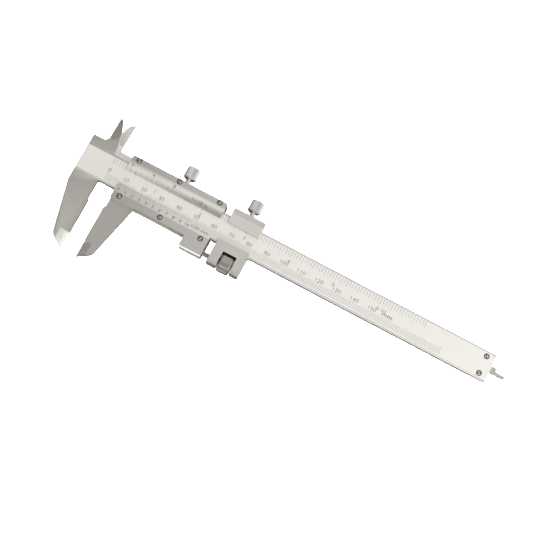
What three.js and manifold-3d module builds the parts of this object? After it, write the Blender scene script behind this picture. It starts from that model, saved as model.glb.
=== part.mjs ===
// Vernier caliper, 0 to 150 mm, with a fine-adjustment block. Millimetres, +Z up.
// The caliper lies on its back with its graduated face up. X runs along the beam from the jaws to the
// depth rod, and the outside jaws point along -Y. While it is built, X = 0 is the zero line of the
// main scale and Y = 0 is the middle of the beam; the last lines move the origin to the middle of the
// footprint. The slider stands at a reading of 8.5 mm.
import * as THREE from 'three';
import { mergeVertices } from 'three/addons/utils/BufferGeometryUtils.js';
import Module from 'manifold-3d';

// ---- driving dimensions ----
const READING = 8.5;
const CLEARANCE = 0.05;

const BEAM_LEFT = -16.1;
const BEAM_RIGHT = 217.1;
const BEAM_HALF_WIDTH = 7.75;
const BEAM_BACK = 1.9;
const BEAM_FACE = 5.4;
const BEAM_BEVEL_WIDTH = 1.0;
const JAW_FACE = 5.1;

const GROOVE_HALF_WIDTH = 2.1;
const GROOVE_FLOOR = 3.9;
const GROOVE_START = 0;

const HEAD_TOP = 12.7;
const FIXED_FACE_X = -1.8;
const MOVING_FACE_X = FIXED_FACE_X + READING + 0.02;
const JAW_TIP_Y = -47.9;
const FIXED_BLADE_EDGE_X = -8.3;
const MOVING_BLADE_EDGE_X = FIXED_BLADE_EDGE_X + READING;
const FIXED_BLADE_TIP_Y = 27.9;
const MOVING_BLADE_TIP_Y = 28.3;
const FRONT_BLADE_BACK = 3.65;
const REAR_BLADE_FACE = 3.5;

const SLIDER_LEFT = 7.3;
const SLIDER_RIGHT = 61.8;
const SLIDER_END_CHAMFER = 0.6;
const SLIDER_TOP = 12.15;
const SLIDER_BOTTOM = -12.9;
const SLIDER_FLOOR = 1.8;
const RAIL_FACE = 5.45;
const PLATE_BACK = 5.5;
const PLATE_FACE = 7.0;
const PLATE_EDGE_FACE = 5.65;
const VERNIER_EDGE_Y = 4.0;
const TAIL_LEFT = 49.1;
const TAIL_BOTTOM = -18.9;
const TAIL_CHAMFER = 0.5;

const PLATE_SCREW_PITCH = 23.05;
const PLATE_SCREW_XS = [0, 1, 2].map((n) => 11.15 + n * PLATE_SCREW_PITCH);
const PLATE_SCREW_Y = 10.6;
const SCREW_HEAD_RADIUS = 0.98;
const COUNTERBORE_RADIUS = 1.45;
const SCREW_SHANK_RADIUS = 0.6;
const SCREW_HOLE_RADIUS = 0.75;
const SLOT_HALF_WIDTH = 0.25;
const SLOT_DEPTH = 0.45;

const GIB_LEFT = 9.5;
const GIB_RIGHT = 59.4;
const GIB_THICKNESS = 0.7;
const GIB_POCKET_TOP = 9.35;

const KNOB_RADIUS = 3.55;
const KNOB_BOTTOM = 14.9;
const KNOB_TOP = 21.4;
const STUD_RADIUS = 1.2;
const STUD_HOLE_RADIUS = 1.35;
const SLIDER_KNOB_X = 37.5;
const BLOCK_KNOB_X = 74.4;
const KNOB_AXIS_Z = 3.65;

const BLOCK_LEFT = 65.2;
const BLOCK_RIGHT = 83.0;
const BLOCK_TOP = 12.0;
const BLOCK_BOTTOM = -19.6;
const BLOCK_FACE = 8.0;
const WINDOW_MIDDLE_X = 74.3;
const WINDOW_WIDTH = 7.6;
const WINDOW_TOP = -11.0;

const NUT_RADIUS = 4.75;
const NUT_MIDDLE_X = 74.4;
const NUT_WIDTH = 6.3;
const ROD_RADIUS = 1.2;
const ROD_AXIS_Y = -16.3;
const ROD_AXIS_Z = 4.85;
const ROD_LEFT = 52.0;
const ROD_END = 80.6;
const ROD_PIN_X = 56.0;
const ROD_PIN_RADIUS = 0.4;
const ROD_PIN_HOLE_RADIUS = 0.5;

const DEPTH_ROD_END = BEAM_RIGHT + READING;
const DEPTH_ROD_LEFT = 10.0;
const DEPTH_ROD_HALF_WIDTH = 2.0;
const DEPTH_ROD_BACK = 2.75;
const DEPTH_ROD_FACE = 3.75;
const DEPTH_ROD_NOTCH = 5.2;
const DEPTH_SCREW_XS = [13.0, 19.0];
const DEPTH_SCREW_HEAD_RADIUS = 1.3;
const DEPTH_SCREW_SHANK_RADIUS = 0.6;
const STOP_SCREW_X = 212.5;
const STOP_SCREW_Y = 4.75;
const STOP_RECESS = 2.6;
const STOP_PLATE_LEFT = 209.0;
const STOP_PLATE_HALF_WIDTH = 7.6;

// ---- finishes ----
const satinChrome = new THREE.MeshStandardMaterial({ color: 0xdcdad4, roughness: 0.45, metalness: 0.75 });
const groundSteel = new THREE.MeshStandardMaterial({ color: 0xa9a7a1, roughness: 0.38, metalness: 0.9 });
const brightSteel = new THREE.MeshStandardMaterial({ color: 0xbdbbb6, roughness: 0.3, metalness: 0.95 });
const springBronze = new THREE.MeshStandardMaterial({ color: 0xb98b4e, roughness: 0.4, metalness: 0.9 });

// ---- solids ----
const wasm = await Module();
wasm.setup();

// A closed three.js geometry as a solid that can be joined and cut.
function solid(geometry) {
  const bare = geometry.clone();
  bare.deleteAttribute('normal');
  bare.deleteAttribute('uv');
  const merged = mergeVertices(bare, 1e-4);
  const vertProperties = new Float32Array(merged.attributes.position.array);
  const triVerts = new Uint32Array(merged.index.array);
  return new wasm.Manifold(new wasm.Mesh({ numProp: 3, vertProperties, triVerts }));
}

// The solid back as a geometry with its own flat faces.
function geometryOf(body) {
  const mesh = body.getMesh();
  const geometry = new THREE.BufferGeometry();
  geometry.setAttribute('position', new THREE.BufferAttribute(mesh.vertProperties, 3));
  geometry.setIndex(new THREE.BufferAttribute(mesh.triVerts, 1));
  return geometry;
}

// A shape from [x, y] corners.
function outline(points) {
  return new THREE.Shape(points.map(([x, y]) => new THREE.Vector2(x, y)));
}

// A plate: an outline in X and Y, between two heights.
function plate(shape, bottom, top) {
  const geometry = new THREE.ExtrudeGeometry(shape, {
    depth: top - bottom,
    bevelEnabled: false,
    curveSegments: 6,
  });
  geometry.translate(0, 0, bottom);
  return solid(geometry);
}

// A bar along X: a section given as [y, z] corners.
function bar(section, left, right) {
  const geometry = new THREE.ExtrudeGeometry(outline(section), {
    depth: right - left,
    bevelEnabled: false,
  });
  // The section's own x and y become Y and Z, and its depth becomes X.
  geometry.applyMatrix4(new THREE.Matrix4().set(0, 0, 1, left, 1, 0, 0, 0, 0, 1, 0, 0, 0, 0, 0, 1));
  return solid(geometry);
}

// A block from its lowest to its highest corner.
function block([x0, y0, z0], [x1, y1, z1]) {
  const geometry = new THREE.BoxGeometry(x1 - x0, y1 - y0, z1 - z0);
  geometry.translate((x0 + x1) / 2, (y0 + y1) / 2, (z0 + z1) / 2);
  return solid(geometry);
}

// A turned piece about an axis: profile corners are [radius, distance along the axis].
function turned(profile, axis, [x, y, z], segments = 24) {
  const geometry = new THREE.LatheGeometry(
    profile.map(([radius, along]) => new THREE.Vector2(radius, along)),
    segments,
  );
  if (axis === 'x') {
    geometry.rotateZ(-Math.PI / 2);
  }
  if (axis === 'z') {
    geometry.rotateX(Math.PI / 2);
  }
  geometry.translate(x, y, z);
  return solid(geometry);
}

// A round rod or drill along an axis, from one distance to another.
function rod(radius, axis, from, to, [x, y, z], segments = 20) {
  return turned([[0, from], [radius, from], [radius, to], [0, to]], axis, [x, y, z], segments);
}

function join(...bodies) {
  return bodies.reduce((whole, body) => whole.add(body));
}

function cut(body, ...tools) {
  return tools.reduce((rest, tool) => rest.subtract(tool), body);
}

const caliper = new THREE.Group();

function add(name, body, material) {
  const mesh = new THREE.Mesh(geometryOf(body), material);
  mesh.name = name;
  caliper.add(mesh);
}

// ---- knife facets ----
// A wedge that leaves everything under the plane through three points, over a stretch of the outline.
// away says which way the metal is taken: 1 upwards, -1 downwards.
function facetCutter(points, [x0, y0, x1, y1], away) {
  const [a, b, c] = points.map((p) => new THREE.Vector3(...p));
  const plane = new THREE.Plane().setFromCoplanarPoints(a, b, c);
  const heightAt = (x, y) => -(plane.normal.x * x + plane.normal.y * y + plane.constant) / plane.normal.z;
  const corners = [[x0, y0], [x1, y0], [x1, y1], [x0, y1]];
  const near = corners.map(([x, y]) => [x, y, heightAt(x, y)]);
  const far = corners.map(([x, y]) => [x, y, heightAt(x, y) + 12 * away]);
  const [low, high] = away > 0 ? [near, far] : [far, near];
  const positions = new Float32Array([...low, ...high].flat());
  const faces = [
    0, 2, 1, 0, 3, 2, 4, 5, 6, 4, 6, 7,
    0, 1, 5, 0, 5, 4, 1, 2, 6, 1, 6, 5,
    2, 3, 7, 2, 7, 6, 3, 0, 4, 3, 4, 7,
  ];
  const geometry = new THREE.BufferGeometry();
  geometry.setAttribute('position', new THREE.BufferAttribute(positions, 3));
  geometry.setIndex(faces);
  return solid(geometry);
}

// ---- main beam, with the fixed head, the fixed outside jaw and the fixed inside blade ----
const beamSection = [
  [-BEAM_HALF_WIDTH, BEAM_BACK],
  [BEAM_HALF_WIDTH, BEAM_BACK],
  [BEAM_HALF_WIDTH, JAW_FACE],
  [BEAM_HALF_WIDTH - BEAM_BEVEL_WIDTH, BEAM_FACE],
  [-BEAM_HALF_WIDTH + BEAM_BEVEL_WIDTH, BEAM_FACE],
  [-BEAM_HALF_WIDTH, JAW_FACE],
];

const fixedJawOutline = outline([
  [BEAM_LEFT, -7.0],
  [BEAM_LEFT, -14.0],
  [-9.4, -41.4],
  [-8.3, -43.2],
  [FIXED_FACE_X, JAW_TIP_Y],
  [FIXED_FACE_X, -18.7],
  [-2.6, -17.9],
  [-2.6, -8.4],
  [-2.0, -7.75],
  [-2.0, -7.0],
]);

const headOutline = [
  [BEAM_LEFT, 7.0],
  [-2.4, 7.0],
  [-2.4, 12.8],
  [-3.3, 15.6],
  [-4.2, 20.4],
  [-4.7, 22.0],
  [-6.4, 25.9],
  [FIXED_BLADE_EDGE_X, FIXED_BLADE_TIP_Y],
  [FIXED_BLADE_EDGE_X, 14.3],
  [-9.0, 13.6],
  [-9.5, HEAD_TOP],
  [BEAM_LEFT, HEAD_TOP],
];

// The head's full-thickness strip, left of the pocket that the moving blade closes into.
const HEAD_POCKET_X = -13.3;

const OUTSIDE_FACET_Y = -38.3;
const OUTSIDE_EDGE_FACE = 3.75;
const OUTSIDE_EDGE_BACK = 3.25;

function outsideFacets(faceX, innerX) {
  const left = Math.min(faceX, innerX) - 1;
  const right = Math.max(faceX, innerX) + 1;
  const window = [left, JAW_TIP_Y - 2, right, OUTSIDE_FACET_Y];
  const front = [[faceX, OUTSIDE_FACET_Y, OUTSIDE_EDGE_FACE], [faceX, JAW_TIP_Y, OUTSIDE_EDGE_FACE]];
  const back = [[faceX, OUTSIDE_FACET_Y, OUTSIDE_EDGE_BACK], [faceX, JAW_TIP_Y, OUTSIDE_EDGE_BACK]];
  return [
    facetCutter([...front, [innerX, OUTSIDE_FACET_Y, JAW_FACE]], window, 1),
    facetCutter([...back, [innerX, OUTSIDE_FACET_Y, BEAM_BACK]], window, -1),
  ];
}

const screwHole = (x, y, from, to) => rod(SCREW_HOLE_RADIUS, 'z', from, to, [x, y, 0]);
const counterbore = (x, y, from, to) => rod(COUNTERBORE_RADIUS, 'z', from, to, [x, y, 0], 24);

const beamBlank = join(
  bar(beamSection, BEAM_LEFT, BEAM_RIGHT),
  plate(fixedJawOutline, BEAM_BACK, JAW_FACE),
  plate(outline(headOutline), FRONT_BLADE_BACK, JAW_FACE),
  block([BEAM_LEFT, 7.0, BEAM_BACK], [HEAD_POCKET_X, HEAD_TOP, FRONT_BLADE_BACK + 0.1]),
);

const fixedBladeFacet = facetCutter(
  [[-5.4, 15.0, JAW_FACE], [-4.3, 21.0, JAW_FACE], [FIXED_BLADE_EDGE_X, FIXED_BLADE_TIP_Y, 3.8]],
  [-9.0, 14.8, -3.0, 28.5],
  1,
);

const stopScrewTools = [-STOP_SCREW_Y, STOP_SCREW_Y].flatMap((y) => [
  screwHole(STOP_SCREW_X, y, BEAM_BACK - 1, BEAM_FACE + 1),
  counterbore(STOP_SCREW_X, y, BEAM_FACE - 1.0, BEAM_FACE + 1),
]);

add(
  'main_beam',
  cut(
    beamBlank,
    // groove of the depth rod
    block(
      [GROOVE_START, -GROOVE_HALF_WIDTH, BEAM_BACK - 1],
      [BEAM_RIGHT + 1, GROOVE_HALF_WIDTH, GROOVE_FLOOR],
    ),
    // seat of the end plate
    block(
      [STOP_PLATE_LEFT - 0.1, -BEAM_HALF_WIDTH - 1, BEAM_BACK - 1],
      [BEAM_RIGHT + 1, BEAM_HALF_WIDTH + 1, STOP_RECESS],
    ),
    fixedBladeFacet,
    ...outsideFacets(FIXED_FACE_X, -6.8),
    ...stopScrewTools,
  ),
  satinChrome,
);

// ---- end plate, let into the beam's back, that keeps the depth rod in its groove ----
add(
  'end_stop_plate',
  cut(
    block(
      [STOP_PLATE_LEFT, -STOP_PLATE_HALF_WIDTH, BEAM_BACK + CLEARANCE],
      [BEAM_RIGHT - 0.1, STOP_PLATE_HALF_WIDTH, STOP_RECESS - CLEARANCE],
    ),
    screwHole(STOP_SCREW_X, -STOP_SCREW_Y, 0, 4),
    screwHole(STOP_SCREW_X, STOP_SCREW_Y, 0, 4),
  ),
  groundSteel,
);

// A slotted screw with a flat cheese head, standing along Z.
function slottedScrew(x, y, tip, seat, top, headRadius, shankRadius) {
  const body = turned(
    [[0, tip], [shankRadius, tip], [shankRadius, seat], [headRadius, seat], [headRadius, top], [0, top]],
    'z',
    [x, y, 0],
  );
  // The lathe's axis is turned onto Z by a quarter turn about X, which keeps distances along it.
  const slot = block(
    [x - headRadius - 1, y - SLOT_HALF_WIDTH, top - SLOT_DEPTH],
    [x + headRadius + 1, y + SLOT_HALF_WIDTH, top + 1],
  );
  return cut(body, slot);
}

[['end_screw_lower', -STOP_SCREW_Y], ['end_screw_upper', STOP_SCREW_Y]].forEach(([name, y]) => {
  add(
    name,
    slottedScrew(STOP_SCREW_X, y, BEAM_BACK + 0.1, BEAM_FACE - 0.95, BEAM_FACE - 0.1,
      SCREW_HEAD_RADIUS, SCREW_SHANK_RADIUS),
    brightSteel,
  );
});

// ---- slider body, with the moving outside jaw and the moving inside blade ----
function roundedSliderOutline() {
  const corner = 2.0;
  const shape = new THREE.Shape();
  shape.moveTo(SLIDER_LEFT, SLIDER_BOTTOM);
  shape.lineTo(SLIDER_RIGHT, SLIDER_BOTTOM);
  shape.lineTo(SLIDER_RIGHT, SLIDER_TOP - corner);
  shape.absarc(SLIDER_RIGHT - corner, SLIDER_TOP - corner, corner, 0, Math.PI / 2, false);
  shape.lineTo(SLIDER_LEFT, SLIDER_TOP);
  shape.closePath();
  return shape;
}

// Takes the corner off the front of everything at the slider's right-hand end.
const endChamfer = facetCutter(
  [
    [SLIDER_RIGHT - SLIDER_END_CHAMFER, 0, PLATE_FACE],
    [SLIDER_RIGHT - SLIDER_END_CHAMFER, 10, PLATE_FACE],
    [SLIDER_RIGHT, 0, PLATE_FACE - SLIDER_END_CHAMFER],
  ],
  [SLIDER_RIGHT - SLIDER_END_CHAMFER - 0.5, -20, SLIDER_RIGHT + 1, 14],
  1,
);

const tailOutline = outline([
  [TAIL_LEFT, SLIDER_BOTTOM + 1],
  [TAIL_LEFT, TAIL_BOTTOM + TAIL_CHAMFER],
  [TAIL_LEFT + TAIL_CHAMFER, TAIL_BOTTOM],
  [SLIDER_RIGHT, TAIL_BOTTOM],
  [SLIDER_RIGHT, SLIDER_BOTTOM + 1],
]);

// Seat and cross-pin hole of the fine-adjustment rod.
const rodSeat = rod(ROD_RADIUS + 0.1, 'x', ROD_LEFT - 0.5, SLIDER_RIGHT + 1, [0, ROD_AXIS_Y, ROD_AXIS_Z]);
const rodPinHole = rod(ROD_PIN_HOLE_RADIUS, 'y', TAIL_BOTTOM - 1, -13.6, [ROD_PIN_X, 0, ROD_AXIS_Z], 12);

const movingJawOutline = outline([
  [SLIDER_LEFT + 0.2, -12.0],
  [SLIDER_LEFT + 0.2, -17.9],
  [MOVING_FACE_X, -18.7],
  [MOVING_FACE_X, JAW_TIP_Y],
  [13.2, -43.2],
  [13.9, -41.4],
  [20.1, -13.4],
  [20.6, -12.0],
]);

const movingBladeOutline = outline([
  [SLIDER_LEFT + 0.2, BEAM_HALF_WIDTH + 0.1],
  [SLIDER_LEFT + 0.2, 11.2],
  [0.9, 11.2],
  [0.3, 11.7],
  [-0.1, 12.5],
  [-0.1, 17.0],
  [MOVING_BLADE_EDGE_X, 18.2],
  [MOVING_BLADE_EDGE_X, MOVING_BLADE_TIP_Y],
  [-2.0, 25.9],
  [-2.75, 24.9],
  [-3.7, 22.0],
  [-4.2, 20.4],
  [-4.4, 17.0],
  [-4.4, BEAM_HALF_WIDTH + 0.1],
]);

// The blade's root is ground a little lower than the part nearest the slider.
const BLADE_STEP_X = 4.4;
const bladeStep = block([-6, 7, REAR_BLADE_FACE - 0.25], [BLADE_STEP_X, 15, REAR_BLADE_FACE + 1]);

const movingBladeFacet = facetCutter(
  [
    [-2.2, 14.0, REAR_BLADE_FACE - 0.25],
    [-3.9, 21.0, REAR_BLADE_FACE],
    [MOVING_BLADE_EDGE_X, MOVING_BLADE_TIP_Y, 2.1],
  ],
  [-5.0, 14.0, 1.0, 28.5],
  1,
);

const movingBlade = cut(
  plate(movingBladeOutline, BEAM_BACK, REAR_BLADE_FACE),
  bladeStep,
  movingBladeFacet,
);

const sliderFrame = cut(
  plate(roundedSliderOutline(), 0, RAIL_FACE),
  block([0, -BEAM_HALF_WIDTH - CLEARANCE, SLIDER_FLOOR], [70, BEAM_HALF_WIDTH + 0.1, 10]),
);

const plateScrewPlaces = [PLATE_SCREW_Y, -PLATE_SCREW_Y].flatMap((y) => PLATE_SCREW_XS.map((x) => [x, y]));

add(
  'slider_body',
  cut(
    join(
      sliderFrame,
      plate(tailOutline, 0, RAIL_FACE),
      movingBlade,
      cut(plate(movingJawOutline, BEAM_BACK, JAW_FACE), ...outsideFacets(MOVING_FACE_X, 10.9)),
    ),
    // pocket for the gib and its spring
    block([GIB_LEFT - 0.3, 7, SLIDER_FLOOR], [GIB_RIGHT + 0.3, GIB_POCKET_TOP, 10]),
    // threaded hole of the lock screw
    rod(STUD_HOLE_RADIUS, 'y', 9, SLIDER_TOP + 1, [SLIDER_KNOB_X, 0, KNOB_AXIS_Z]),
    ...plateScrewPlaces.map(([x, y]) => screwHole(x, y, 2.8, 10)),
    // seats of the two screws that hold the depth rod
    ...DEPTH_SCREW_XS.map((x) => rod(DEPTH_SCREW_SHANK_RADIUS + 0.15, 'z', -1, 3, [x, 0, 0], 16)),
    ...DEPTH_SCREW_XS.map((x) => rod(DEPTH_SCREW_HEAD_RADIUS + 0.15, 'z', -1, 0.8, [x, 0, 0])),
    rodSeat,
    rodPinHole,
  ),
  groundSteel,
);

// ---- vernier plates ----
const upperPlateSection = [
  [SLIDER_TOP, PLATE_BACK],
  [SLIDER_TOP, PLATE_FACE],
  [9.0, PLATE_FACE],
  [VERNIER_EDGE_Y, PLATE_EDGE_FACE],
  [VERNIER_EDGE_Y, PLATE_BACK],
];

const lowerPlateSection = [
  [SLIDER_BOTTOM, PLATE_BACK],
  [-VERNIER_EDGE_Y, PLATE_BACK],
  [-VERNIER_EDGE_Y, PLATE_EDGE_FACE],
  [-8.9, PLATE_FACE],
  [SLIDER_BOTTOM, PLATE_FACE],
];

const plateScrewTools = plateScrewPlaces.flatMap(([x, y]) => [
  screwHole(x, y, 0, 10),
  counterbore(x, y, PLATE_FACE - 0.9, 10),
]);

// Takes the inner right-hand corner off a plate: side is 1 for the upper one and -1 for the lower one.
function cornerCutter(side) {
  const corner = outline([
    [SLIDER_RIGHT + 0.05, side * 8.5],
    [SLIDER_RIGHT - 0.9, side * (VERNIER_EDGE_Y - 0.1)],
    [SLIDER_RIGHT + 1, side * (VERNIER_EDGE_Y - 0.1)],
    [SLIDER_RIGHT + 1, side * 8.5],
  ]);
  return plate(corner, PLATE_BACK - 1, PLATE_FACE + 1);
}

add(
  'upper_vernier_plate',
  cut(
    bar([...upperPlateSection].reverse(), SLIDER_LEFT, SLIDER_RIGHT).intersect(
      plate(roundedSliderOutline(), 0, 10),
    ),
    endChamfer,
    cornerCutter(1),
    ...plateScrewTools,
  ),
  groundSteel,
);

// Takes the corner off the tail's lower edge.
const tailChamfer = facetCutter(
  [
    [TAIL_LEFT, TAIL_BOTTOM + TAIL_CHAMFER, PLATE_FACE],
    [SLIDER_RIGHT, TAIL_BOTTOM + TAIL_CHAMFER, PLATE_FACE],
    [SLIDER_RIGHT, TAIL_BOTTOM, PLATE_FACE - TAIL_CHAMFER],
  ],
  [TAIL_LEFT - 1, TAIL_BOTTOM - 1, SLIDER_RIGHT + 1, TAIL_BOTTOM + TAIL_CHAMFER + 0.5],
  1,
);

// The lower plate also covers the tail.
add(
  'lower_vernier_plate',
  cut(
    join(bar(lowerPlateSection, SLIDER_LEFT, SLIDER_RIGHT), plate(tailOutline, PLATE_BACK, PLATE_FACE)),
    endChamfer,
    cornerCutter(-1),
    tailChamfer,
    rodSeat,
    ...plateScrewTools,
  ),
  groundSteel,
);

plateScrewPlaces.forEach(([x, y], index) => {
  add(
    `plate_screw_${index + 1}`,
    slottedScrew(x, y, 3.0, PLATE_FACE - 0.85, PLATE_FACE - 0.1, SCREW_HEAD_RADIUS, SCREW_SHANK_RADIUS),
    brightSteel,
  );
});

// ---- gib and its leaf spring, inside the slider's upper rail ----
add(
  'slider_gib',
  block(
    [GIB_LEFT, BEAM_HALF_WIDTH + CLEARANCE, 2.0],
    [GIB_RIGHT, BEAM_HALF_WIDTH + CLEARANCE + GIB_THICKNESS, 5.3],
  ),
  brightSteel,
);

function leafSpringOutline() {
  const ends = BEAM_HALF_WIDTH + CLEARANCE + GIB_THICKNESS + CLEARANCE;
  const thickness = 0.15;
  const rise = 0.42;
  const steps = 12;
  const left = GIB_LEFT + 1;
  const right = GIB_RIGHT - 1;
  const arch = (n) => {
    const along = n / steps;
    return [left + (right - left) * along, ends + rise * Math.sin(Math.PI * along)];
  };
  const under = Array.from({ length: steps + 1 }, (_, n) => arch(n));
  const over = under.map(([x, y]) => [x, y + thickness]).reverse();
  return outline([...under, ...over]);
}

add('gib_spring', plate(leafSpringOutline(), 2.3, 5.0), springBronze);

// ---- depth rod, screwed to the inside of the slider's back ----
const depthRodOutline = outline([
  [DEPTH_ROD_LEFT, -DEPTH_ROD_HALF_WIDTH],
  [DEPTH_ROD_END - 0.6, -DEPTH_ROD_HALF_WIDTH],
  [DEPTH_ROD_END - 0.2, -DEPTH_ROD_HALF_WIDTH + 0.2],
  [DEPTH_ROD_END, -DEPTH_ROD_HALF_WIDTH + 0.6],
  [DEPTH_ROD_END, -0.5],
  [DEPTH_ROD_END - 0.2, -0.1],
  [DEPTH_ROD_END - 0.6, 0.1],
  [DEPTH_ROD_END - DEPTH_ROD_NOTCH, 0.1],
  [DEPTH_ROD_END - DEPTH_ROD_NOTCH - 0.4, DEPTH_ROD_HALF_WIDTH],
  [DEPTH_ROD_LEFT, DEPTH_ROD_HALF_WIDTH],
]);

add(
  'depth_rod',
  cut(
    join(
      plate(depthRodOutline, DEPTH_ROD_BACK, DEPTH_ROD_FACE),
      block(
        [DEPTH_ROD_LEFT, -DEPTH_ROD_HALF_WIDTH, SLIDER_FLOOR + CLEARANCE],
        [22.0, DEPTH_ROD_HALF_WIDTH, 3.0],
      ),
    ),
    ...DEPTH_SCREW_XS.map((x) => rod(DEPTH_SCREW_SHANK_RADIUS + 0.15, 'z', 0, 3.3, [x, 0, 0], 16)),
  ),
  brightSteel,
);

DEPTH_SCREW_XS.forEach((x, index) => {
  const screw = turned(
    [
      [0, 0.15],
      [DEPTH_SCREW_HEAD_RADIUS, 0.15],
      [DEPTH_SCREW_HEAD_RADIUS, 0.75],
      [DEPTH_SCREW_SHANK_RADIUS, 0.75],
      [DEPTH_SCREW_SHANK_RADIUS, 3.1],
      [0, 3.1],
    ],
    'z',
    [x, 0, 0],
    20,
  );
  const slot = block([x - 2, -0.2, -1], [x + 2, 0.2, 0.45]);
  add(`depth_rod_screw_${index + 1}`, cut(screw, slot), brightSteel);
});

// ---- fine-adjustment rod, fixed in the slider's tail by a cross pin ----
add(
  'fine_adjust_rod',
  cut(
    turned(
      [
        [0, ROD_LEFT],
        [ROD_RADIUS, ROD_LEFT],
        [ROD_RADIUS, ROD_END - 0.4],
        [ROD_RADIUS - 0.4, ROD_END],
        [0, ROD_END],
      ],
      'x',
      [0, ROD_AXIS_Y, ROD_AXIS_Z],
    ),
    rod(ROD_PIN_HOLE_RADIUS, 'y', TAIL_BOTTOM - 1, -10, [ROD_PIN_X, 0, ROD_AXIS_Z], 12),
  ),
  brightSteel,
);

add(
  'rod_pin',
  rod(ROD_PIN_RADIUS, 'y', TAIL_BOTTOM + 0.1, -13.9, [ROD_PIN_X, 0, ROD_AXIS_Z], 12),
  brightSteel,
);

// ---- fine-adjustment block, a clamp of C section around the beam ----
const blockSection = [
  [BLOCK_BOTTOM, 0.6],
  [BLOCK_BOTTOM + 0.6, 0],
  [BLOCK_TOP, 0],
  [BLOCK_TOP, BLOCK_FACE],
  [9.0, BLOCK_FACE],
  [3.8, 5.9],
  [3.8, 5.5],
  [BEAM_HALF_WIDTH + 0.1, 5.5],
  [BEAM_HALF_WIDTH + 0.1, SLIDER_FLOOR],
  [-BEAM_HALF_WIDTH - CLEARANCE, SLIDER_FLOOR],
  [-BEAM_HALF_WIDTH - CLEARANCE, 5.5],
  [-5.9, 5.5],
  [-5.9, BLOCK_FACE],
  [BLOCK_BOTTOM + 1.6, BLOCK_FACE],
  [BLOCK_BOTTOM + 0.5, BLOCK_FACE - 0.5],
  [BLOCK_BOTTOM, BLOCK_FACE - 1.6],
];

const windowLeft = WINDOW_MIDDLE_X - WINDOW_WIDTH / 2;
const windowRight = WINDOW_MIDDLE_X + WINDOW_WIDTH / 2;
const SHOE_LEFT = 67.4;
const SHOE_RIGHT = 80.8;

add(
  'fine_adjust_block',
  cut(
    bar(blockSection, BLOCK_LEFT, BLOCK_RIGHT),
    block([windowLeft, BLOCK_BOTTOM - 1, -1], [windowRight, WINDOW_TOP, 10]),
    block([SHOE_LEFT - 0.3, 7, SLIDER_FLOOR], [SHOE_RIGHT + 0.3, 9.1, 5.5]),
    rod(STUD_HOLE_RADIUS, 'y', 8, BLOCK_TOP + 1, [BLOCK_KNOB_X, 0, KNOB_AXIS_Z]),
    rod(ROD_RADIUS + 0.15, 'x', BLOCK_LEFT - 1, BLOCK_RIGHT + 1, [0, ROD_AXIS_Y, ROD_AXIS_Z]),
  ),
  satinChrome,
);

add(
  'clamp_shoe',
  block([SHOE_LEFT, BEAM_HALF_WIDTH + CLEARANCE, 2.1], [SHOE_RIGHT, 8.65, 5.2]),
  springBronze,
);

// ---- adjusting nut, held in the block's window ----
const nutLeft = NUT_MIDDLE_X - NUT_WIDTH / 2;
const nutRight = NUT_MIDDLE_X + NUT_WIDTH / 2;
const NUT_CHAMFER = 0.5;
const NUT_BORE_RADIUS = ROD_RADIUS + 0.1;

add(
  'adjusting_nut',
  cut(
    turned(
      [
        [0, nutLeft],
        [NUT_RADIUS - NUT_CHAMFER, nutLeft],
        [NUT_RADIUS, nutLeft + NUT_CHAMFER],
        [NUT_RADIUS, nutRight - NUT_CHAMFER],
        [NUT_RADIUS - NUT_CHAMFER, nutRight],
        [0, nutRight],
      ],
      'x',
      [0, ROD_AXIS_Y, ROD_AXIS_Z],
      32,
    ),
    rod(NUT_BORE_RADIUS, 'x', nutLeft - 1, nutRight + 1, [0, ROD_AXIS_Y, ROD_AXIS_Z]),
  ),
  brightSteel,
);

// ---- knurled lock screws ----
function lockScrew(x, tip) {
  const chamfer = 0.6;
  return turned(
    [
      [0, tip],
      [STUD_RADIUS - 0.3, tip],
      [STUD_RADIUS, tip + 0.3],
      [STUD_RADIUS, KNOB_BOTTOM],
      [KNOB_RADIUS - chamfer, KNOB_BOTTOM],
      [KNOB_RADIUS, KNOB_BOTTOM + chamfer],
      [KNOB_RADIUS, KNOB_TOP - chamfer],
      [KNOB_RADIUS - chamfer, KNOB_TOP],
      [0, KNOB_TOP],
    ],
    'y',
    [x, 0, KNOB_AXIS_Z],
    28,
  );
}

add('slider_lock_screw', lockScrew(SLIDER_KNOB_X, 9.2), brightSteel);
add('block_lock_screw', lockScrew(BLOCK_KNOB_X, 8.7), brightSteel);

// ---- origin at the middle of the footprint, on the surface it lies on ----
const part = new THREE.Group();
caliper.position.set(-(BEAM_LEFT + DEPTH_ROD_END) / 2, -(JAW_TIP_Y + MOVING_BLADE_TIP_Y) / 2, 0);
part.add(caliper);

export default part;
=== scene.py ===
import math

import bmesh
import bpy
from mathutils import Matrix, Vector


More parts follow.
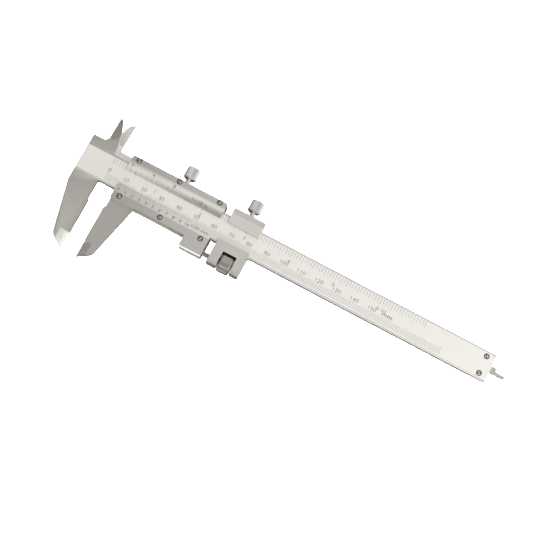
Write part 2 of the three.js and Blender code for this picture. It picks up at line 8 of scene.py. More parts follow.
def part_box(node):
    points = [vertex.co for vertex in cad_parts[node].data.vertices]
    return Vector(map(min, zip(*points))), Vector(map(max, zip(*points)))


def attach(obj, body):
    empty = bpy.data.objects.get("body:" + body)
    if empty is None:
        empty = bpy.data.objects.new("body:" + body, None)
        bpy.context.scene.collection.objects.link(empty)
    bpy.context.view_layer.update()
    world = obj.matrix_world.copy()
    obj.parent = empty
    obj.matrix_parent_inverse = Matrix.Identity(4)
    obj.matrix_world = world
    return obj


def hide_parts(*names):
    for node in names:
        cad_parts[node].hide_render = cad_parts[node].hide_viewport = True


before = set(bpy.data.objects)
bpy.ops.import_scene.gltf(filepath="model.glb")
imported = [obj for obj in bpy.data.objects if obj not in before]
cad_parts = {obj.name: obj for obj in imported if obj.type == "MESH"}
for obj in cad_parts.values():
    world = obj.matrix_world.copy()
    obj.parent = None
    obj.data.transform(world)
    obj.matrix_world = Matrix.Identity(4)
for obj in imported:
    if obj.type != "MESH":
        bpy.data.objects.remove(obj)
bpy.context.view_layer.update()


# ---- studio ----
# A soft studio: a bright wall on the right and a dim one on the left, bright walls in front and behind, and
# a large soft light overhead, a little to the front, over a plain white floor. The camera stands almost
# straight above the caliper, turned so that the beam runs down to the right.
CAMERA_TARGET = Vector((-0.00581, 0.00121, 0.004))
CAMERA_DISTANCE = 0.5975
CAMERA_TILT = math.radians(13.22)
CAMERA_YAW = math.radians(-0.955)
CAMERA_ROLL = math.radians(-27.907)
CAMERA_LENS = 77.56
FLOOR_SIZE = 8.0

camera_data = bpy.data.cameras.new("camera")
camera_data.lens = CAMERA_LENS
camera_data.sensor_width = 36.0
camera_data.clip_start = 0.01
camera_data.clip_end = 20.0
camera = bpy.data.objects.new("camera", camera_data)
bpy.context.scene.collection.objects.link(camera)
seen_turn = (
    Matrix.Rotation(CAMERA_ROLL, 4, "Z")
    @ Matrix.Rotation(-CAMERA_TILT, 4, "X")
    @ Matrix.Rotation(CAMERA_YAW, 4, "Y")
)
camera.matrix_world = (
    Matrix.Translation(CAMERA_TARGET)
    @ seen_turn.transposed()
    @ Matrix.Translation((0, 0, CAMERA_DISTANCE))
)
bpy.context.scene.camera = camera
bpy.context.scene.view_settings.view_transform = "Standard"
bpy.context.scene.view_settings.look = "None"


def put_node(tree, kind, inputs=None, **settings):
    """A node of that kind in the tree, with its settings, and each input set or linked."""
    made = tree.nodes.new(kind)
    for name, value in settings.items():
        setattr(made, name, value)
    for name, value in (inputs or {}).items():
        if isinstance(value, bpy.types.NodeSocket):
            tree.links.new(value, made.inputs[name])
        else:
            made.inputs[name].default_value = value
    return made


# How bright the room is from its left wall to its right wall, as (place, brightness); 0.5 is overhead.
ROOM_RAMP = [
    (0.00, 0.28), (0.18, 0.22), (0.36, 0.36), (0.42, 0.44), (0.45, 0.67), (0.52, 0.54), (0.60, 0.44),
    (0.68, 1.20), (0.78, 0.85), (1.00, 0.90),
]
# How bright it is from its front wall to its back wall, in the same way.
DEPTH_RAMP = [
    (0.00, 4.0), (0.05, 2.2), (0.12, 0.45), (0.20, 0.45), (0.235, 0.9), (0.26, 2.3), (0.34, 2.7),
    (0.39, 2.7), (0.52, 1.0), (0.70, 1.0), (0.85, 1.4), (1.00, 3.0),
]
ROOM_STRENGTH = 1.48
ROOM_TINT = (1.0, 0.992, 0.972)
# Where the camera stands in the room, how near to it (as a cosine) its dark spot begins and is full, and
# what is left of the light there.
CAMERA_WAY = (0.03, -0.27, 0.962)
SHADE_BEGINS = 0.976
SHADE_FULL = 0.989
CAMERA_SHADE = 0.2
FLOOR_LEVEL = -0.0002
FLOOR_COLOUR = (0.26, 0.26, 0.257, 1)
FLOOR_GLOW = (6.5, 6.5, 6.5, 1)

world = bpy.data.worlds.new("studio")
world.use_nodes = True
bpy.context.scene.world = world
room = world.node_tree
room.nodes.clear()
direction = put_node(room, "ShaderNodeTexCoord").outputs["Generated"]
across = put_node(room, "ShaderNodeSeparateXYZ", {"Vector": direction}).outputs
place = put_node(
    room, "ShaderNodeMapRange", {"Value": across["X"], "From Min": -1.0, "From Max": 1.0}
).outputs["Result"]
depth_place = put_node(
    room, "ShaderNodeMapRange", {"Value": across["Y"], "From Min": -1.0, "From Max": 1.0}
).outputs["Result"]


def light_ramp(along, stops, tint):
    """A soft run of light along the room through those (place, brightness) stops."""
    run = put_node(room, "ShaderNodeValToRGB", {"Fac": along})
    run.color_ramp.interpolation = "EASE"
    while len(run.color_ramp.elements) < len(stops):
        run.color_ramp.elements.new(0.5)
    for stop, (at, bright) in zip(run.color_ramp.elements, stops):
        stop.position = at
        stop.color = (bright * tint[0], bright * tint[1], bright * tint[2], 1)
    return run.outputs["Color"]


# The camera and its hood stand in the light, as a soft dark spot over the caliper.
nearness = put_node(
    room, "ShaderNodeVectorMath", {0: direction, 1: CAMERA_WAY}, operation="DOT_PRODUCT"
).outputs["Value"]
shade = put_node(
    room,
    "ShaderNodeMapRange",
    {
        "Value": nearness,
        "From Min": SHADE_BEGINS,
        "From Max": SHADE_FULL,
        "To Min": 1.0,
        "To Max": CAMERA_SHADE,
    },
).outputs["Result"]
depth_light = light_ramp(depth_place, DEPTH_RAMP, (1.0, 1.0, 1.0))
gain = put_node(room, "ShaderNodeMath", {0: depth_light, 1: shade}, operation="MULTIPLY").outputs["Value"]
strength = put_node(
    room, "ShaderNodeMath", {0: gain, 1: ROOM_STRENGTH}, operation="MULTIPLY"
).outputs["Value"]
wall_light = light_ramp(place, ROOM_RAMP, ROOM_TINT)
lit_room = put_node(room, "ShaderNodeBackground", {"Color": wall_light, "Strength": strength})
white_room = put_node(room, "ShaderNodeBackground", {"Color": (1, 1, 1, 1), "Strength": 1.0})
seen = put_node(room, "ShaderNodeLightPath").outputs["Is Camera Ray"]
room_mix = put_node(
    room, "ShaderNodeMixShader", {0: seen, 1: lit_room.outputs[0], 2: white_room.outputs[0]}
)
put_node(room, "ShaderNodeOutputWorld", {"Surface": room_mix.outputs[0]})

bpy.ops.object.select_all(action="DESELECT")
bpy.ops.mesh.primitive_grid_add(
    x_subdivisions=8, y_subdivisions=8, size=FLOOR_SIZE, location=(0, 0, FLOOR_LEVEL)
)
floor = bpy.context.object
floor.name = "floor"
floor_paint = bpy.data.materials.new("white_floor")
floor_paint.use_nodes = True
paint = floor_paint.node_tree
paint.nodes.clear()
matt = put_node(paint, "ShaderNodeBsdfDiffuse", {"Color": FLOOR_COLOUR})
glow = put_node(paint, "ShaderNodeBsdfDiffuse", {"Color": FLOOR_GLOW})
floor_seen = put_node(paint, "ShaderNodeLightPath").outputs["Is Camera Ray"]
floor_mix = put_node(paint, "ShaderNodeMixShader", {0: floor_seen, 1: matt.outputs[0], 2: glow.outputs[0]})
put_node(paint, "ShaderNodeOutputMaterial", {"Surface": floor_mix.outputs[0]})
floor.data.materials.append(floor_paint)


# ---- main beam ----
# The beam, its head and the fixed jaws are one flat bar of hardened stainless steel. The front is satin
# chromed and the jaws are surface ground; the knife facets are painted lighter, as a painted highlight.
def new_group(name, inputs, outputs):
    """An empty shader node group with those float or vector inputs, and float outputs."""
    group = bpy.data.node_groups.new(name, "ShaderNodeTree")
    for label, value in inputs.items():
        kind = "NodeSocketVector" if isinstance(value, tuple) else "NodeSocketFloat"
        socket = group.interface.new_socket(name=label, in_out="INPUT", socket_type=kind)
        socket.default_value = value
    for label in outputs:
        group.interface.new_socket(name=label, in_out="OUTPUT", socket_type="NodeSocketFloat")
    return group


# Lines left by a grinding wheel: noise drawn out along one direction.
grinding = new_group(
    "grinding_lines",
    {"Vector": (0.0, 0.0, 0.0), "Lines Per Metre": (60.0, 9000.0, 9000.0), "Contrast": 0.1},
    ["Tone", "Height"],
)
ends = put_node(grinding, "NodeGroupInput").outputs
drawn = put_node(
    grinding, "ShaderNodeVectorMath", {0: ends["Vector"], 1: ends["Lines Per Metre"]}, operation="MULTIPLY"
).outputs["Vector"]
fine = put_node(
    grinding, "ShaderNodeTexNoise", {"Vector": drawn, "Scale": 1.0, "Detail": 4.0, "Roughness": 0.65}
).outputs["Fac"]
centred = put_node(grinding, "ShaderNodeMath", {0: fine, 1: 0.5}, operation="SUBTRACT").outputs["Value"]
scaled = put_node(
    grinding, "ShaderNodeMath", {0: centred, 1: ends["Contrast"]}, operation="MULTIPLY"
).outputs["Value"]
tone = put_node(grinding, "ShaderNodeMath", {0: scaled, 1: 1.0}, operation="ADD").outputs["Value"]
put_node(grinding, "NodeGroupOutput", {"Tone": tone, "Height": fine})

# Handling marks: broad soft smears where fingers have dulled or polished the metal.
handling = new_group(
    "handling_marks",
    {
        "Vector": (0.0, 0.0, 0.0),
        "Patches Per Metre": 90.0,
        "Tone Depth": 0.05,
        "Roughness": 0.4,
        "Spread": 0.08,
    },
    ["Tone", "Roughness"],
)
ends = put_node(handling, "NodeGroupInput").outputs
smear = put_node(
    handling,
    "ShaderNodeTexNoise",
    {"Vector": ends["Vector"], "Scale": ends["Patches Per Metre"], "Detail": 3.0, "Distortion": 0.6},
).outputs["Fac"]
centred = put_node(handling, "ShaderNodeMath", {0: smear, 1: 0.5}, operation="SUBTRACT").outputs["Value"]
depth = put_node(
    handling, "ShaderNodeMath", {0: centred, 1: ends["Tone Depth"]}, operation="MULTIPLY"
).outputs["Value"]
tone = put_node(handling, "ShaderNodeMath", {0: depth, 1: 1.0}, operation="ADD").outputs["Value"]
spread = put_node(
    handling, "ShaderNodeMath", {0: centred, 1: ends["Spread"]}, operation="MULTIPLY"
).outputs["Value"]
rough = put_node(
    handling, "ShaderNodeMath", {0: spread, 1: ends["Roughness"]}, operation="ADD", use_clamp=True
).outputs["Value"]
put_node(handling, "NodeGroupOutput", {"Tone": tone, "Roughness": rough})


GRINDING_DEPTH = 0.00004


def steel(name, colour, roughness, metallic, lines, contrast, bump):
    """Machined metal: its colour and gloss, then the lines per metre, tone and relief of its grinding."""
    material = bpy.data.materials.new(name)
    material.use_nodes = True
    tree = material.node_tree
    tree.nodes.clear()
    spot = put_node(tree, "ShaderNodeTexCoord").outputs["Object"]
    ground = put_node(tree, "ShaderNodeGroup", node_tree=grinding)
    tree.links.new(spot, ground.inputs["Vector"])
    ground.inputs["Lines Per Metre"].default_value = lines
    ground.inputs["Contrast"].default_value = contrast
    worn = put_node(tree, "ShaderNodeGroup", node_tree=handling)
    tree.links.new(spot, worn.inputs["Vector"])
    worn.inputs["Roughness"].default_value = roughness
    both = put_node(
        tree, "ShaderNodeMath", {0: ground.outputs["Tone"], 1: worn.outputs["Tone"]}, operation="MULTIPLY"
    ).outputs["Value"]
    tinted = put_node(
        tree, "ShaderNodeVectorMath", {0: colour, "Scale": both}, operation="SCALE"
    ).outputs["Vector"]
    relief = put_node(
        tree,
        "ShaderNodeBump",
        {"Height": ground.outputs["Height"], "Strength": bump, "Distance": GRINDING_DEPTH},
    ).outputs["Normal"]
    surface = put_node(
        tree,
        "ShaderNodeBsdfPrincipled",
        {
            "Base Color": tinted,
            "Roughness": worn.outputs["Roughness"],
            "Metallic": metallic,
            "Normal": relief,
        },
    )
    put_node(tree, "ShaderNodeOutputMaterial", {"Surface": surface.outputs[0]})
    return material


def finish_node(node, material):
    """Gives a CAD node its finish, in place of the plain one it was packed with."""
    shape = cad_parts[node]
    shape.data.materials.clear()
    shape.data.materials.append(material)


# Grinding lines per metre along X, Y and Z, for lines that run across the beam, along it, and along drawn
# bar, and for the grain of chrome and of turned steel, which runs no way.
ACROSS = (9000.0, 260.0, 9000.0)
ALONG = (120.0, 9000.0, 9000.0)
LONG_DRAWN = (60.0, 9000.0, 9000.0)
FINE_GRAIN = (9000.0, 9000.0, 9000.0)
EVEN_GRAIN = (3000.0, 3000.0, 3000.0)
# Satin chrome for the beam's face, and on the slider's lower sides as a painted highlight.
satin_chrome = steel("satin_chrome", (0.725, 0.712, 0.685), 0.5, 0.7, FINE_GRAIN, 0.05, 0.25)
ground_steel = steel("ground_steel", (0.45, 0.435, 0.405), 0.34, 0.95, ACROSS, 0.16, 0.3)
# A lighter copy of the ground steel: a painted highlight on the knife facets.
facet_painted_highlight = steel("facet_painted_highlight", (0.72, 0.71, 0.685), 0.26, 1.0, ACROSS, 0.1, 0.2)
# A lighter copy of the ground steel: a painted highlight on the inside blade's root.
blade_root_painted_highlight = steel("blade_root_painted_highlight", (0.72, 0.71, 0.685), 0.36, 0.95, ACROSS, 0.1, 0.25)
ground_edge = steel("ground_edge", (0.52, 0.513, 0.495), 0.38, 0.95, ALONG, 0.1, 0.25)
# Near-black painted shade for the screws' counterbores, slots and shanks.
recess_painted_shade = steel("recess_painted_shade", (0.035, 0.033, 0.03), 0.6, 0.3, EVEN_GRAIN, 0.3, 0.2)


def clear_selection():
    """Back to object mode with nothing selected."""
    if bpy.context.object is not None and bpy.context.object.mode != "OBJECT":
        bpy.ops.object.mode_set(mode="OBJECT")
    bpy.ops.object.select_all(action="DESELECT")


SAME_POINT = 0.000004
FLAT_ANGLE = math.radians(0.5)
SHARP_ANGLE = math.radians(28)
SMOOTH_ANGLE = math.radians(14)


def broken_edges(node, name, width):
    """The node's own shape with its sharp edges broken to a small chamfer, standing for the node."""
    clear_selection()
    shape = bpy.data.objects.new(name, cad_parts[node].data.copy())
    bpy.context.scene.collection.objects.link(shape)
    bpy.context.view_layer.objects.active = shape
    shape.select_set(True)
    shape.data.materials.clear()
    bpy.ops.object.mode_set(mode="EDIT")
    bpy.ops.mesh.select_all(action="SELECT")
    bpy.ops.mesh.remove_doubles(threshold=SAME_POINT)
    bpy.ops.mesh.dissolve_limited(angle_limit=FLAT_ANGLE)
    bpy.ops.object.mode_set(mode="OBJECT")
    soften = shape.modifiers.new("broken_edges", "BEVEL")
    soften.width = width
    soften.segments = 2
    soften.limit_method = "ANGLE"
    soften.angle_limit = SHARP_ANGLE
    bpy.ops.object.modifier_apply(modifier=soften.name)
    bpy.ops.object.shade_smooth_by_angle(angle=SMOOTH_ANGLE)
    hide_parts(node)
    return shape


def finish_faces(shape, materials, choose):
    """Gives each face of the piece the material whose number choose(centre, normal) returns."""
    for material in materials:
        shape.data.materials.append(material)
    for face in shape.data.polygons:
        face.material_index = choose(face.center, face.normal)


MM = 0.001
stop_low, stop_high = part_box("end_stop_plate")
beam_low, beam_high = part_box("main_beam")
# The zero of the main scale, the beam's middle line, the level of its face and of the foot of its chamfers.
ZERO_X = beam_low.x + 16.1 * MM
MIDDLE_Y = (stop_low.y + stop_high.y) / 2
BEAM_FACE_Z = beam_high.z
BEAM_EDGE_Z = BEAM_FACE_Z - 0.28 * MM
COUNTERBORE = 1.52 * MM
COUNTERBORE_FLOOR_Z = 3.5 * MM
BELOW_FACE = 0.05 * MM
JAW_GROUND_Y = MIDDLE_Y - 38.0 * MM
BEAM_SIDE = 7.5 * MM
BEAM_BREAK = 0.07 * MM
# How much of a face's normal lies along an axis when the face leans that way, and when it faces that way.
LEANS = 0.1
FACES = 0.9


def screw_axes(screws):
    """Where each of those screws stands, as [x, y]."""
    boxes = [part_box(screw) for screw in screws]
    return [((low.x + high.x) / 2, (low.y + high.y) / 2) for low, high in boxes]


def in_counterbore(centre, axes):
    """True for a face inside the counterbore of a screw at one of those places."""
    return any(math.hypot(centre.x - x, centre.y - y) < COUNTERBORE for x, y in axes)


END_SCREWS = ["end_screw_lower", "end_screw_upper"]
end_axes = screw_axes(END_SCREWS)


def knife_facet(centre, normal):
    """True for a face of the slanting facets at the tips of the outside jaws."""
    return abs(normal.x) > LEANS and normal.z > 0.5 and centre.y < JAW_GROUND_Y


def beam_finish(centre, normal):
    """0 satin chrome, 1 ground, 2 knife facets with a painted highlight, 3 painted shade in the screws'
    recesses, 4 the beam's edges.
    """
    if COUNTERBORE_FLOOR_Z < centre.z < BEAM_FACE_Z - BELOW_FACE and in_counterbore(centre, end_axes):
        return 3
    if centre.z > BEAM_EDGE_Z:
        if normal.y > LEANS:
            return 1
        return 4 if normal.y < -LEANS else 0
    if knife_facet(centre, normal):
        return 2
    if abs(centre.y - MIDDLE_Y) > BEAM_SIDE and abs(normal.y) > FACES and centre.x > ZERO_X:
        return 4
    return 1


main_beam = broken_edges("main_beam", "main_beam_finished", BEAM_BREAK)
beam_materials = [satin_chrome, ground_steel, facet_painted_highlight, recess_painted_shade, ground_edge]
finish_faces(main_beam, beam_materials, beam_finish)
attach(main_beam, "beam")


# ---- main scales ----
# The scales are etched into the chromed face and filled with black: millimetres along the lower edge, to
# 190 mm, and sixteenths of an inch along the upper edge, to 7 in.
MARK_WIDTH = 0.13 * MM
END_ROUNDING = 0.35
MARK_RISE = 0.012 * MM
MARK_SINK = 0.006 * MM
BLACK_FILL = (0.07, 0.069, 0.067)
INCH = 25.4
# Ends of the scales' lines, in millimetres up from the beam's middle. A foot is the end by the beam's edge,
# and a top is the end by the figures.
METRIC_FOOT = -6.0
ONES_TOP = -2.7
FIVES_TOP = -2.25
TENS_TOP = -1.7
INCH_FOOT = 6.5

mark_paint = bpy.data.materials.new("black_fill")
mark_paint.use_nodes = True
tree = mark_paint.node_tree
tree.nodes.clear()
spot = put_node(tree, "ShaderNodeTexCoord").outputs["Object"]
worn = put_node(tree, "ShaderNodeGroup", node_tree=handling)
tree.links.new(spot, worn.inputs["Vector"])
worn.inputs["Patches Per Metre"].default_value = 1500.0
worn.inputs["Tone Depth"].default_value = 0.8
worn.inputs["Roughness"].default_value = 0.55
tinted = put_node(
    tree, "ShaderNodeVectorMath", {0: BLACK_FILL, "Scale": worn.outputs["Tone"]}, operation="SCALE"
).outputs["Vector"]
surface = put_node(
    tree, "ShaderNodeBsdfPrincipled", {"Base Color": tinted, "Roughness": worn.outputs["Roughness"]}
)
put_node(tree, "ShaderNodeOutputMaterial", {"Surface": surface.outputs[0]})


def on_beam(x, y):
    """A point of the beam's face, from millimetres along the scale and up from the beam's middle."""
    return Vector((ZERO_X + x * MM, MIDDLE_Y + y * MM, BEAM_FACE_Z))


def mark(name, low, high):
    """One filled line on a flat face, from its lower to its upper end, with rounded ends."""
    clear_selection()
    bpy.ops.mesh.primitive_cube_add(size=1.0)
    line = bpy.context.object
    line.name = name
    bpy.ops.object.mode_set(mode="EDIT")
    span = high - low
    bpy.ops.transform.resize(value=(MARK_WIDTH, span.length, MARK_RISE + MARK_SINK))
    corners = bmesh.from_edit_mesh(line.data)
    for edge in corners.edges:
        ends_apart = edge.verts[0].co - edge.verts[1].co
        edge.select_set(abs(ends_apart.z) > MARK_RISE / 2 and abs(ends_apart.y) < MARK_RISE)
    bmesh.update_edit_mesh(line.data)
    bpy.ops.mesh.bevel(offset=MARK_WIDTH * END_ROUNDING, segments=1)
    bpy.ops.object.mode_set(mode="OBJECT")
    tilt = math.atan2(span.z, span.y)
    lift = Vector((0, -math.sin(tilt), math.cos(tilt))) * (MARK_RISE - MARK_SINK) / 2
    line.data.transform(
        Matrix.Translation((low + high) / 2 + lift) @ Matrix.Rotation(tilt, 4, "X")
    )
    line.data.materials.append(mark_paint)
    return line


def repeat(line, *rows):
    """The line repeated along the beam: each row is (count, pitch in millimetres)."""
    clear_selection()
    line.select_set(True)
    bpy.context.view_layer.objects.active = line
    for count, pitch in rows:
        row = line.modifiers.new("row", "ARRAY")
        row.count = count
        row.use_relative_offset = False
        row.use_constant_offset = True
        row.constant_offset_displace = (pitch * MM, 0, 0)
        bpy.ops.object.modifier_apply(modifier=row.name)
    return line


def joined(name, pieces, body):
    """The pieces as one object of that name, riding on the body."""
    clear_selection()
    for piece in pieces:
        piece.select_set(True)
    bpy.context.view_layer.objects.active = pieces[0]
    bpy.ops.object.join()
    whole = bpy.context.object
    whole.name = name
    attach(whole, body)
    return whole


metric_lines = [
    repeat(mark("ones", on_beam(1, METRIC_FOOT), on_beam(1, ONES_TOP)), (4, 1), (38, 5)),
    repeat(mark("fives", on_beam(5, METRIC_FOOT), on_beam(5, FIVES_TOP)), (19, 10)),
    repeat(mark("tens", on_beam(0, METRIC_FOOT), on_beam(0, TENS_TOP)), (20, 10)),
]
joined("metric_scale", metric_lines, "beam")


def inch_row(name, start, top, count, pitch):
    """A row of the inch scale's lines: its start and pitch in inches, the lines' tops in millimetres."""
    line = mark(name, on_beam(start * INCH, top), on_beam(start * INCH, INCH_FOOT))
    return repeat(line, (count, pitch * INCH))


inch_lines = [
    inch_row("sixteenths", 1 / 16, 3.6, 56, 1 / 8),
    inch_row("eighths", 1 / 8, 3.2, 28, 1 / 4),
    inch_row("quarters", 1 / 4, 2.8, 14, 1 / 2),
    inch_row("halves", 1 / 2, 2.9, 7, 1),
    inch_row("inches", 0, 2.9, 8, 1),
]
joined("inch_scale", inch_lines, "beam")


FIGURE_STRETCH = 1.2
# How far the strokes of the main scale's figures are drawn in, and how thick a raised letter starts, in the
# letters' own units.
FIGURE_THINNING = -0.012
LETTER_EXTRUDE = 0.01


def lettering(name, words, centre, height, tilt=0.0, stretch=FIGURE_STRETCH, thinning=0.0):
    """Figures of that height, raised by a hair from the face they are filled into."""
    clear_selection()
    bpy.ops.object.text_add()
    figures = bpy.context.object
    figures.name = name
    figures.data.body = words
    figures.data.align_x = "CENTER"
    figures.data.align_y = "CENTER"
    figures.data.extrude = LETTER_EXTRUDE
    figures.data.offset = thinning
    figures.data.resolution_u = 3
    bpy.ops.object.convert(target="MESH")
    figures = bpy.context.object
    corners = [point.co.copy() for point in figures.data.vertices]
    low = Vector([min(corner[axis] for corner in corners) for axis in range(3)])
    high = Vector([max(corner[axis] for corner in corners) for axis in range(3)])
    size = height / (high.y - low.y)
    thick = (MARK_RISE + MARK_SINK) / (high.z - low.z)
    figures.data.transform(
        Matrix.Translation(centre)
        @ Matrix.Rotation(tilt, 4, "X")
        @ Matrix.Translation((0, 0, (MARK_RISE - MARK_SINK) / 2))
        @ Matrix.Diagonal((size * stretch, size, thick, 1))
        @ Matrix.Translation(-(low + high) / 2)
    )
    figures.data.materials.append(mark_paint)
    return figures


FIGURE_HEIGHT = 1.9 * MM
# Middles of the figures, in millimetres up from the beam's middle.
ZERO_FIGURE_Y = -0.3
FIGURE_Y = -1.05
INCH_FIGURE_Y = 0.75
# How far to the right of its line a figure stands, and where the units stand, in millimetres.
ZERO_SHIFT = 0.3
METRIC_SHIFT = 0.25
INCH_SHIFT = 0.2
INCH_UNIT_X = 155.9
METRIC_UNIT_X = 158.6
METRIC_UNIT_HEIGHT = FIGURE_HEIGHT * 0.8


def scale_figure(words, x, y):
    """A figure of the main scale, its middle in millimetres along the scale and up from the middle."""
    return lettering("figure", words, on_beam(x, y), FIGURE_HEIGHT, thinning=FIGURE_THINNING)


figures = [scale_figure("0", ZERO_SHIFT, ZERO_FIGURE_Y)]
for tens in range(1, 16):
    figures.append(scale_figure(str(tens * 10), tens * 10 + METRIC_SHIFT, FIGURE_Y))
for inch in range(1, 7):
    figures.append(scale_figure(str(inch), inch * INCH + INCH_SHIFT, INCH_FIGURE_Y))
figures.append(scale_figure("in", INCH_UNIT_X, INCH_FIGURE_Y))
figures.append(lettering("figure", "mm", on_beam(METRIC_UNIT_X, FIGURE_Y), METRIC_UNIT_HEIGHT))
joined("main_scale_figures", figures, "beam")


# ---- end plate and its screws ----
# A thin plate let into the back of the beam's end keeps the depth rod in its groove. Two slotted cheese-head
# screws hold it from the front.
plate_steel = steel("plate_steel", (0.49, 0.48, 0.455), 0.13, 0.95, ALONG, 0.12, 0.08)
screw_steel = steel("screw_steel", (0.52, 0.51, 0.485), 0.33, 0.95, EVEN_GRAIN, 0.1, 0.1)
finish_node("end_stop_plate", plate_steel)

HEAD_SIDES = 40
SHANK_TO_HEAD = 0.6
RIM_BREAK = 0.12 * MM
SLOT_WIDTH = 0.46 * MM
SLOT_CUT = 0.8 * MM
# How far under the head's top the near-black painted shade begins.
PAINTED_SHADE_DEPTH = 0.13 * MM
# How near two levels are when they count as the same one.
SAME_LEVEL = 0.01 * MM
HEAD_SMOOTH = math.radians(30)
TURNED_SMOOTH = math.radians(25)


def slotted_screw(node, body, head_height, turn):
    """A cheese-head screw with a broken rim and a sawn slot, turned to where its slot came to rest."""
    low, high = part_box(node)
    middle = Vector(((low.x + high.x) / 2, (low.y + high.y) / 2, high.z))
    head = (high.x - low.x) / 2
    shank = head * SHANK_TO_HEAD
    clear_selection()
    bpy.ops.mesh.primitive_cylinder_add(
        vertices=HEAD_SIDES, radius=head, depth=head_height, location=(0, 0, -head_height / 2)
    )
    screw = bpy.context.object
    screw.name = node + "_finished"
    bpy.ops.object.transform_apply(location=True, rotation=True, scale=True)
    bpy.ops.object.mode_set(mode="EDIT")
    bpy.ops.mesh.select_mode(type="FACE")
    mesh = bmesh.from_edit_mesh(screw.data)
    for face in mesh.faces:
        face.select_set(face.normal.z < -FACES)
    bmesh.update_edit_mesh(screw.data)
    bpy.ops.mesh.inset(thickness=head - shank)
    bpy.ops.mesh.extrude_region_move(
        TRANSFORM_OT_translate={"value": (0, 0, -(high.z - low.z - head_height))}
    )
    bpy.ops.mesh.select_all(action="DESELECT")
    bpy.ops.mesh.select_mode(type="EDGE")
    mesh = bmesh.from_edit_mesh(screw.data)
    for edge in mesh.edges:
        edge.select_set(all(point.co.z > -SAME_LEVEL for point in edge.verts))
    bmesh.update_edit_mesh(screw.data)
    bpy.ops.mesh.bevel(offset=RIM_BREAK, segments=3)
    bpy.ops.object.mode_set(mode="OBJECT")
    bpy.ops.mesh.primitive_cube_add(size=1.0)
    saw = bpy.context.object
    saw.data.transform(Matrix.Diagonal((head * 3, SLOT_WIDTH, SLOT_CUT, 1)))
    clear_selection()
    screw.select_set(True)
    bpy.context.view_layer.objects.active = screw
    slot_cut = screw.modifiers.new("slot", "BOOLEAN")
    slot_cut.operation = "DIFFERENCE"
    slot_cut.object = saw
    bpy.ops.object.modifier_apply(modifier=slot_cut.name)
    bpy.data.objects.remove(saw)
    screw.data.transform(Matrix.Translation(middle) @ Matrix.Rotation(turn, 4, "Z"))
    bpy.ops.object.shade_smooth_by_angle(angle=HEAD_SMOOTH)
    # Faces more than a small depth under the head's top, in the slot and below the head, get near-black
    # painted shade.
    finish_faces(
        screw,
        [screw_steel, recess_painted_shade],
        lambda centre, normal: 1 if centre.z < middle.z - PAINTED_SHADE_DEPTH else 0,
    )
    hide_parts(node)
    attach(screw, body)


END_SCREW_HEAD = 0.8 * MM
END_SCREW_TURNS = (0.5, 2.0)
for node, turn in zip(END_SCREWS, END_SCREW_TURNS):
    slotted_screw(node, "beam", END_SCREW_HEAD, turn)


# ---- slider, with the moving jaws ----
# The slider's frame, its tail and both moving jaws are milled from one piece and ground. It runs on the
# beam's edges, with a thin gib and a leaf spring inside its upper rail.
BLADE_FOOT_Z = 3.0 * MM
BLADE_ROOT_Z = 3.6 * MM
BLADE_START = 7.8 * MM
LOWER_SIDE = 12.0 * MM


def slider_finish(centre, normal):
    """0 ground; painted highlights: 1 the outside jaw's knife facets, 2 the inside blade's root,
    3 the lower sides.
    """
    if knife_facet(centre, normal):
        return 1
    if normal.z > FACES and BLADE_FOOT_Z < centre.z < BLADE_ROOT_Z and centre.y > MIDDLE_Y + BLADE_START:
        return 2
    if normal.y < -FACES and centre.y < MIDDLE_Y - LOWER_SIDE:
        return 3
    return 0


slider = broken_edges("slider_body", "slider_body_finished", BEAM_BREAK)
finish_faces(slider, [ground_steel, facet_painted_highlight, blade_root_painted_highlight, satin_chrome], slider_finish)
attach(slider, "slider")

bright_steel = steel("bright_steel", (0.46, 0.452, 0.435), 0.3, 0.95, LONG_DRAWN, 0.1, 0.15)
bronze = steel("bronze", (0.58, 0.38, 0.17), 0.38, 0.95, LONG_DRAWN, 0.1, 0.15)
finish_node("slider_gib", bright_steel)
finish_node("gib_spring", bronze)


# ---- vernier plates ----
# Two ground plates with bevelled inner edges carry the verniers, each held down by three slotted screws in
# counterbores. The lower one reads twentieths of a millimetre, the upper one 1/128 inch.
PLATE_SCREWS = ["plate_screw_%d" % (n + 1) for n in range(6)]
plate_axes = screw_axes(PLATE_SCREWS)
PLATE_FACE_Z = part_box("lower_vernier_plate")[1].z


def plate_finish(centre, normal):
    """0 ground, 1 painted shade in the screws' recesses."""
    return 1 if centre.z < PLATE_FACE_Z - BELOW_FACE and in_counterbore(centre, plate_axes) else 0


for node in ("lower_vernier_plate", "upper_vernier_plate"):
    plate = broken_edges(node, node + "_finished", BEAM_BREAK)
    finish_faces(plate, [plate_steel, recess_painted_shade], plate_finish)
    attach(plate, "slider")

PLATE_SCREW_HEAD = 0.75 * MM
FIRST_TURN = 0.35
NEXT_TURN = 1.13
for number, node in enumerate(PLATE_SCREWS):
    slotted_screw(node, "slider", PLATE_SCREW_HEAD, FIRST_TURN + NEXT_TURN * number)

# The bevels rise from the reading edge, 4 mm from the beam's middle, over these widths to the plates' faces.
EDGE_Z = 5.65 * MM
EDGE_AWAY = 4.0
LOWER_BEVEL = 4.9
UPPER_BEVEL = 5.0
BEVEL_RISE = PLATE_FACE_Z - EDGE_Z
LOWER_SLOPE = BEVEL_RISE / (LOWER_BEVEL * MM)
UPPER_SLOPE = LOWER_SLOPE * LOWER_BEVEL / UPPER_BEVEL


def on_bevel(x, away):
    """A point of a plate's bevel: along the scale, and up (+) or down (-) from the beam's middle."""
    rise = (abs(away) - EDGE_AWAY) * MM * (UPPER_SLOPE if away > 0 else LOWER_SLOPE)
    return Vector((ZERO_X + x * MM, MIDDLE_Y + away * MM, EDGE_Z + rise))


